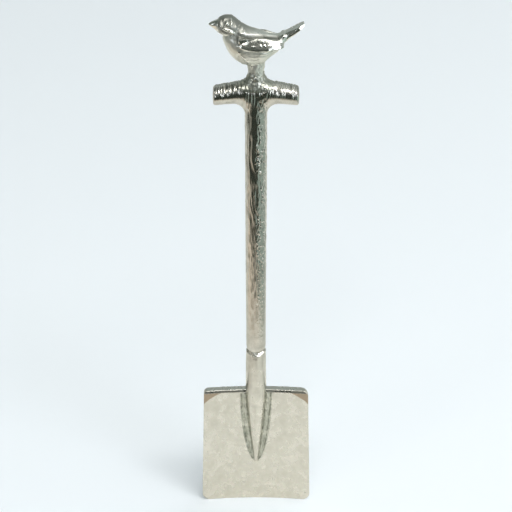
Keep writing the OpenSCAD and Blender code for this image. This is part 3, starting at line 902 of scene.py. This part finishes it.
def head_relief(points):
    """Beak, face, eye, cheek and nape."""
    x, z = points.T[[0, 2]]
    # Mouth, with a fuller lower half of the beak
    out = stroke(points, [(-9.3, 110.1), (-8.9, 110.02), (-8.2, 109.92), (-7.5, 109.95)], 0.1, -0.1)
    out += 0.4 * np.clip(z - 109.45, 0, 0.5) * ramp(-x, 7.4, 7.8) * ramp(-z, -110.02, -109.96)
    # Edge between the beak and the face, running on under the cheek
    edge = [(-7.35, 110.5), (-7.3, 110.1), (-6.95, 109.7), (-6.5, 109.25), (-6.0, 108.9), (-5.45, 108.6),
            (-5, 108.2)]
    out += stroke(points, edge, 0.2, -0.14)
    # Upright fold in front of the eye
    out += stroke(points, [(-7.0, 110.8), (-6.95, 110.5), (-6.8, 109.95)], 0.2, 0.13)
    out += stroke(points, [(-6.5, 111.0), (-6.45, 110.6), (-6.35, 110.1)], 0.16, -0.12)
    # The eye, its hollow and the brow over it
    gap = np.hypot(x + 5.6, z - 110.6)
    out += 0.3 * np.sqrt(np.clip(1 - (gap / 0.46) ** 2, 0, 1))
    out -= 0.13 * np.exp(-((gap - 0.58) / 0.14) ** 2)
    out += stroke(points, [(-6.3, 111.2), (-5.8, 111.45), (-5.1, 111.45), (-4.7, 111.15)], 0.2, 0.05)
    out += stroke(points, [(-4.8, 111.2), (-4.65, 110.7), (-4.85, 110.15)], 0.17, 0.09)
    # Cheek with a full lower edge
    cheek = [(-6.4, 109.55), (-5.8, 109.45), (-5.15, 109.3), (-4.7, 108.98), (-4.35, 108.7)]
    out += stroke(points, cheek, 0.27, 0.22)
    # Short feathers on the nape
    nape = [(-3.93, 111.1), (-3.4, 110.65), (-3.15, 110.1), (-3.85, 109.9), (-2.6, 109.5), (-4.5, 111.9),
            (-2.1, 108.9), (-3.3, 109.4)]
    for px, pz in nape:
        out += lump(points, px, pz, 0.2, 0.26, 0.08)
    # Fold from the throat up to the nape, and the deep hollow before the shoulder
    out += stroke(points, [(-4.8, 107.85), (-4.3, 108.4), (-3.8, 108.95)], 0.16, 0.1)
    out += stroke(points, [(-3.5, 108.55), (-3.8, 108.05), (-3.85, 107.4), (-3.6, 106.75)], 0.36, -0.26)
    return out


def body_relief(points):
    """Breast, belly, back, rump and tail."""
    # Long fold from the breast to the stem, and another before it
    out = stroke(points, [(-3.4, 105.1), (-2.4, 103.85), (-1.35, 102.5)], 0.28, 0.1)
    out += stroke(points, [(-4.5, 103.8), (-3.95, 104.3), (-3.3, 104.85)], 0.25, 0.04)
    out += stroke(points, [(-3.3, 104.1), (-2.5, 103.1)], 0.4, -0.06)
    # Feather lines under the wing
    lines = [[(-2.2, 105.2), (-1.46, 105.12), (-0.52, 105.05), (0.9, 105.1)],
             [(-1.7, 104.75), (-0.69, 104.65), (0.5, 104.72)], [(-1.5, 104.3), (-0.77, 104.2), (0.2, 104.24)],
             [(-1.1, 103.5), (-0.5, 103.3), (0.3, 103.5)], [(1.4, 105.0), (2.3, 104.75), (3.2, 105.1)],
             [(1.0, 104.3), (1.9, 104.15), (2.6, 104.45)], [(3.0, 105.6), (3.9, 105.75), (4.4, 106.1)]]
    for line in lines:
        out += stroke(points, line, 0.13, -0.07)
    # The back ends in a full edge above the wing, and is cut away under it
    full_edge = [(-3.0, 108.75), (-1.5, 108.4), (0.5, 108.2), (2.5, 108.15), (4.3, 107.95)]
    out += stroke(points, full_edge, 0.3, 0.1)
    cut_away = [(-3.0, 108.2), (-1.5, 107.85), (0.5, 107.7), (2.5, 107.65), (4.3, 107.4)]
    out += stroke(points, cut_away, 0.3, -0.18)
    # Rump, and the groove where the tail begins
    out += lump(points, 5.2, 107.85, 0.5, 0.42, 0.26)
    out += stroke(points, [(5.85, 107.1), (6.25, 107.9)], 0.18, -0.09)
    # Tail feathers
    out += stroke(points, [(6.1, 107.55), (7.3, 108.35), (9.0, 109.5)], 0.12, -0.05)
    return out


# Covert feathers of the wing: place, half length and half height, how far they rise
COVERTS = [(0.5, 107.3, 0.36, 0.2, 0.07), (1.3, 107.15, 0.3, 0.2, 0.07), (0.9, 106.5, 0.28, 0.24, 0.07),
           (1.7, 106.5, 0.28, 0.24, 0.07), (-0.5, 106.3, 0.6, 0.22, 0.03)]


def wing_relief(points, across):
    """Shoulder and coverts as overlapping lumps, then the long flight feathers."""
    x, z = points.T[[0, 2]]
    across = np.clip(across, -0.92, 0.92)
    flat = 0.45 * (1 - np.sqrt(1 - across ** 2)) - 0.06 + 0.13 * across * ramp(-x, -2.6, -1.6)
    # The shoulder leans back
    shoulder = ramp(1 - ((x + 2.4) / 0.9) ** 2 - ((z - 107.15) / 0.66) ** 2, 0, 0.3)
    out = 0.23 * np.maximum(107.85 - z, 0) * shoulder
    for px, pz, wide, tall, height in COVERTS:
        out = np.maximum(out, height * (1 - ((x - px) / wide) ** 2 - ((z - pz) / tall) ** 2))
    # The flight feathers lean back above a soft ridge, and in below it
    above_ridge = across + 0.15
    facet = 0.1 - 0.17 * np.maximum(above_ridge, 0) + 0.25 * np.minimum(above_ridge, 0)
    for rise in (-0.25, 0.3):
        facet -= 0.03 * np.exp(-((across - rise - 0.06 * (x - 3)) / 0.07) ** 2)
    flight = ramp(x - 0.3 * across, 2.3, 3.3)
    return flat + out * (1 - flight) + facet * flight


def bird_relief(points):
    """Height of the bird's modelled lines and feathers, in millimetres."""
    y, z = points.T[1:]
    beside = ramp(np.abs(y), 0.4, 1.1)
    on_wing, across = wing_mask(points)
    plumage = beside * (head_relief(points) + body_relief(points)) * (1 - on_wing)
    rough = stem_rough(points) * 0.14 * ramp(-z, -103.6, -101.0)
    under = 0.04 * noise(points / [0.6, 0.6, 0.9], 27) * ramp(-z, -105.6, -103.8)
    hammered = 0.02 * noise(points / [1.5, 1.5, 1.2], 26)
    hammered += (0.005 + 0.013 * (1 - on_wing)) * noise(points / [0.6, 0.5, 0.4], 28)
    return plumage + wing_relief(points, across) * on_wing + rough + under + hammered


def make_bird():
    solids = [bird_loft(BODY_ROWS), bird_loft(HEAD_ROWS), wing_loft(1), wing_loft(-1), stem_loft()]
    mesh = remesh(*joined(solids), voxel=0.085)
    points = points_of(mesh)
    x, z = points.T[[0, 2]]
    # The head runs into the body without an edge, and so do the throat and the stem
    neck = np.exp(-((x + 3.4) / 1.3) ** 2) * ramp(z, 106.8, 108.2)
    throat = np.exp(-((x + 5.9) / 1.3) ** 2 - ((z - 107.2) / 1.0) ** 2)
    belly = np.exp(-((z - 102.0) / 1.0) ** 2)
    on_wing = wing_mask(points)[0]
    weight = np.clip(np.maximum.reduce([neck, throat, belly]), 0.0, 1.0) * (1 - on_wing)
    relax(mesh, passes=8, weight=np.ones(len(points)) * 0.8)
    for _ in range(2):
        relax(mesh, passes=21, weight=weight)
    points = points_of(mesh)
    normals = normals_of(mesh)
    relief = bird_relief(points)
    out = points + normals * relief[:, None]
    # The tail's end is filed off towards each side, facing up a little
    filed = 1.28 - 0.37 * (out[:, 0] - 8.5) - 0.36 * (out[:, 2] - 109.5)
    filed = np.where(out[:, 0] > 8.0, np.maximum(filed, 0.3), np.inf)
    out[:, 1] = np.clip(out[:, 1], -filed, filed)
    # The plumage is satin, and its ridges, the beak, the tail and the wings are rubbed brighter
    x, y, z = points.T
    on_wing = wing_mask(points)[0]
    satin = (0.62 + 0.1 * ramp(-z, -105.0, -103.0)) * (1 - on_wing) * ramp(-relief, -0.13, -0.03)
    satin += 0.14 * on_wing
    satin *= (0.3 + 0.7 * ramp(x, -7.7, -7.0)) * (1 - 0.7 * ramp(x, 5.0, 6.0))
    # Painted shade lies along the cut between the back and the wing, and more painted shade darkens the upper
    # body, thinly over the back and most over the head and nape
    cut = [(-3.2, 108.05), (-1.5, 107.8), (0.5, 107.7), (2.5, 107.62), (4.0, 107.5)]
    cut_shade = stroke(points, cut, 0.45, 0.95) * ramp(np.abs(y), 0.8, 1.4)
    crown_shade = 0.1 + 0.5 * ramp(-x, -1.5, 3.5)
    crown_shade *= ramp(z, 107.8, 108.8) * ramp(-relief, -0.13, -0.03) * ramp(x, -7.6, -6.9)
    # Darker in the grooves from patina, with the painted shade of the cut and the head on top
    patina_and_painted_light = np.maximum.reduce([ramp(-relief, 0.03, 0.16) * 0.7, cut_shade, crown_shade])
    return piece("bird_cast", mesh, out, patina_and_painted_light, BIRD, ["bird"], satin)


make_blade()
make_socket()
make_solder()
make_shaft()
make_grip()
make_collar()
make_bird()

# Camera, at the photograph's angle
scene = bpy.context.scene
EYE_RISE = math.radians(27)
EYE_GAP = 480 * MM
EYE_TARGET = Vector((0, 0, 66.1 * MM))
PHOTO_LENS = 188.06
# It looks a little lower than the photograph and takes in more, so that the whole blade is in the picture
EXTRA_TILT = math.radians(0.762)
LENS_SHARE = 0.885
camera_data = bpy.data.cameras.new("camera")
camera_data.sensor_width = 36
camera_data.lens = PHOTO_LENS * LENS_SHARE
camera_data.clip_start = 0.01
camera = bpy.data.objects.new("camera", camera_data)
camera.location = EYE_TARGET + EYE_GAP * Vector((0, -math.cos(EYE_RISE), math.sin(EYE_RISE)))
camera.rotation_euler = (math.pi / 2 - EYE_RISE - EXTRA_TILT, 0, 0)
scene.collection.objects.link(camera)
scene.camera = camera

# Pale floor that runs up into a backdrop
FLOOR_HALF = 2.0
FLOOR_FRONT = -1.2
FLOOR_BACK = 0.9
BEND_R = 0.5
BEND_STEPS = 12
BACKDROP_TOP = 2.2
floor_profile = [(FLOOR_FRONT, 0.0), (FLOOR_BACK, 0.0)]
for step in range(1, BEND_STEPS + 1):
    angle = math.radians(90 * step / BEND_STEPS)
    floor_profile.append((FLOOR_BACK + BEND_R * math.sin(angle), BEND_R - BEND_R * math.cos(angle)))
floor_profile.append((FLOOR_BACK + BEND_R, BACKDROP_TOP))
floor_points = []
for y, z in floor_profile:
    floor_points += [(-FLOOR_HALF, y, z), (FLOOR_HALF, y, z)]
floor_faces = [(2 * i, 2 * i + 1, 2 * i + 3, 2 * i + 2) for i in range(len(floor_profile) - 1)]
floor_mesh = bpy.data.meshes.new("floor")
floor_mesh.from_pydata(floor_points, [], floor_faces)
floor_mesh.shade_smooth()
floor = bpy.data.objects.new("floor", floor_mesh)
scene.collection.objects.link(floor)
floor_material = bpy.data.materials.new("floor_paper")
floor_tree = new_tree(floor_material)
# The camera sees pale blue-grey paper. What the metal picks up is nearly white close by and behind the
# spoon. Ahead it turns cream, then grey at both sides and dark between them.
floor_place = add_node(floor_tree, "TexCoord")
floor_parts = add_node(floor_tree, "SeparateXYZ", links=[("Vector", floor_place, "Object")])
# The floor's own colour, and what it comes to in this light
PAPER = "#F1F8FF"
BACKGROUND = "#E3EBEF"
# The dark part lies between two lines that spread apart ahead. Along each, X plus this much of Y is constant.
RIGHT_LINE_LEAN = 0.45
LEFT_LINE_LEAN = -1.7
# The right side greys nearer by than the left, by this share of X
LOPSIDED = 0.35
reach = add_node(floor_tree, "VectorMath", {"operation": "LENGTH"},
                 links=[("Vector", floor_place, "Object")])
ahead = soft_step(0.08, 0.02, floor_parts, "Y")
line_links = [(0, floor_parts, "Y"), (2, floor_parts, "X")]
right_line = combine("MULTIPLY_ADD", line_links, {1: RIGHT_LINE_LEAN})
left_line = combine("MULTIPLY_ADD", line_links, {1: LEFT_LINE_LEAN})
right_side = soft_step(0.03, -0.04, right_line, "Value")
left_side = soft_step(-0.05, 0.05, left_line, "Value")
between = combine("MULTIPLY", [(0, right_side, "Result"), (1, left_side, "Result")])
dark_reach = soft_step(0.07, 0.145, reach, "Value")
dark_ahead = combine("MULTIPLY", [(0, dark_reach, "Result"), (1, ahead, "Result")])
dark_share = combine("MULTIPLY", [(0, between, "Value"), (1, dark_ahead, "Value")])
lopsided = combine("MULTIPLY_ADD", [(0, floor_parts, "X"), (2, reach, "Value")], {1: LOPSIDED})
grey_reach = soft_step(0.073, 0.14, lopsided, "Value")
grey_share = combine("MULTIPLY", [(0, grey_reach, "Result"), (1, ahead, "Result")])
cream_share = soft_step(0.065, 0.09, reach, "Value")
behind_share = soft_step(-0.02, 0.05, floor_parts, "Y")
in_front = blend("#F6F4EF", "#F2E2D2", cream_share, "Result")
bounce = blend(in_front, "#EAE9E5", behind_share, "Result")
cool_side = soft_step(0.0, 0.08, floor_parts, "X")
room_grey = blend("#959790", "#9FAEA9", cool_side, "Result")
greyed = blend(bounce, room_grey, grey_share, "Value")
picked_up = blend(greyed, "#353A34", dark_share, "Value")
floor_light = add_node(floor_tree, "LightPath")
floor_colour = blend(picked_up, PAPER, floor_light, "Is Camera Ray")
paper = add_node(floor_tree, "BsdfDiffuse", links=[("Color", floor_colour, "Result")])
# Further off it looks evenly lit to the camera, and its upright part does so to the metal
far_off = soft_step(0.35, 0.9, reach, "Value")
upright = soft_step(0.01, 0.3, floor_parts, "Z")
camera_glow = combine("MULTIPLY", [(0, far_off, "Result"), (1, floor_light, "Is Camera Ray")])
metal_glow = combine("MULTIPLY", [(0, upright, "Result"), (1, floor_light, "Is Glossy Ray")])
glow_share = combine("MAXIMUM", [(0, camera_glow, "Value"), (1, metal_glow, "Value")])
glow_colour = blend("#A3ABA8", BACKGROUND, floor_light, "Is Camera Ray")
glow = add_node(floor_tree, "Emission", links=[("Color", glow_colour, "Result")])
backdrop = add_node(floor_tree, "MixShader",
                    links=[("Fac", glow_share, "Value"), (1, paper, "BSDF"), (2, glow, "Emission")])
add_node(floor_tree, "OutputMaterial", links=[("Surface", backdrop, "Shader")])
floor_mesh.materials.append(floor_material)

# Surroundings: grey walls, a bright ceiling, a dim left side, and dark behind the camera. The camera
# itself sees only the background's colour.
world = bpy.data.worlds.new("room")
scene.world = world
world.use_nodes = True
world_tree = world.node_tree
world_tree.nodes.clear()
direction = add_node(world_tree, "TexCoord")
parts = add_node(world_tree, "SeparateXYZ", links=[("Vector", direction, "Generated")])
front = soft_step(-0.25, -0.6, parts, "Y")
overhead = soft_step(0.72, 0.9, parts, "Z")
walls = blend("#A7ADAA", "#3A3F39", front, "Result")
open_room = blend(walls, "#E4E8E6", overhead, "Result")
left = soft_step(0.1, -0.35, parts, "X")
room = blend(open_room, "#59605A", left, "Result")
world_light = add_node(world_tree, "LightPath")
around = blend(room, BACKGROUND, world_light, "Is Camera Ray")
sky = add_node(world_tree, "Background", links=[("Color", around, "Result")])
add_node(world_tree, "OutputWorld", links=[("Surface", sky, "Background")])


LAMP_TARGET = Vector((0, 0, 0.08))


def area_lamp(name, place, size, power, colour):
    """A soft lamp at a place in metres, aimed at the middle of the spoon."""
    data = bpy.data.lights.new(name, "AREA")
    data.shape = "RECTANGLE"
    data.size, data.size_y = size
    data.energy = power
    data.color = linear(colour)[:3]
    lamp = bpy.data.objects.new(name, data)
    lamp.location = place
    lamp.rotation_euler = (LAMP_TARGET - Vector(place)).to_track_quat("-Z", "Y").to_euler()
    scene.collection.objects.link(lamp)
    return lamp


area_lamp("key", (0.25, -0.6, 0.92), (1.0, 0.26), 7.0, "#FFFCF6")
area_lamp("window", (0.62, -0.72, 0.22), (0.3, 0.6), 2.4, "#F4F8FF")
area_lamp("left_window", (-0.62, -0.68, 0.22), (0.16, 0.5), 0.8, "#F4F8FF")
# The big lamp lights the floor and isn't mirrored in the metal
top_lamp = area_lamp("top", (1.0, 0.3, 1.4), (2.4, 2.4), 15.2, "#FFFFFF")
top_lamp.visible_glossy = False

scene.view_settings.view_transform = "Standard"
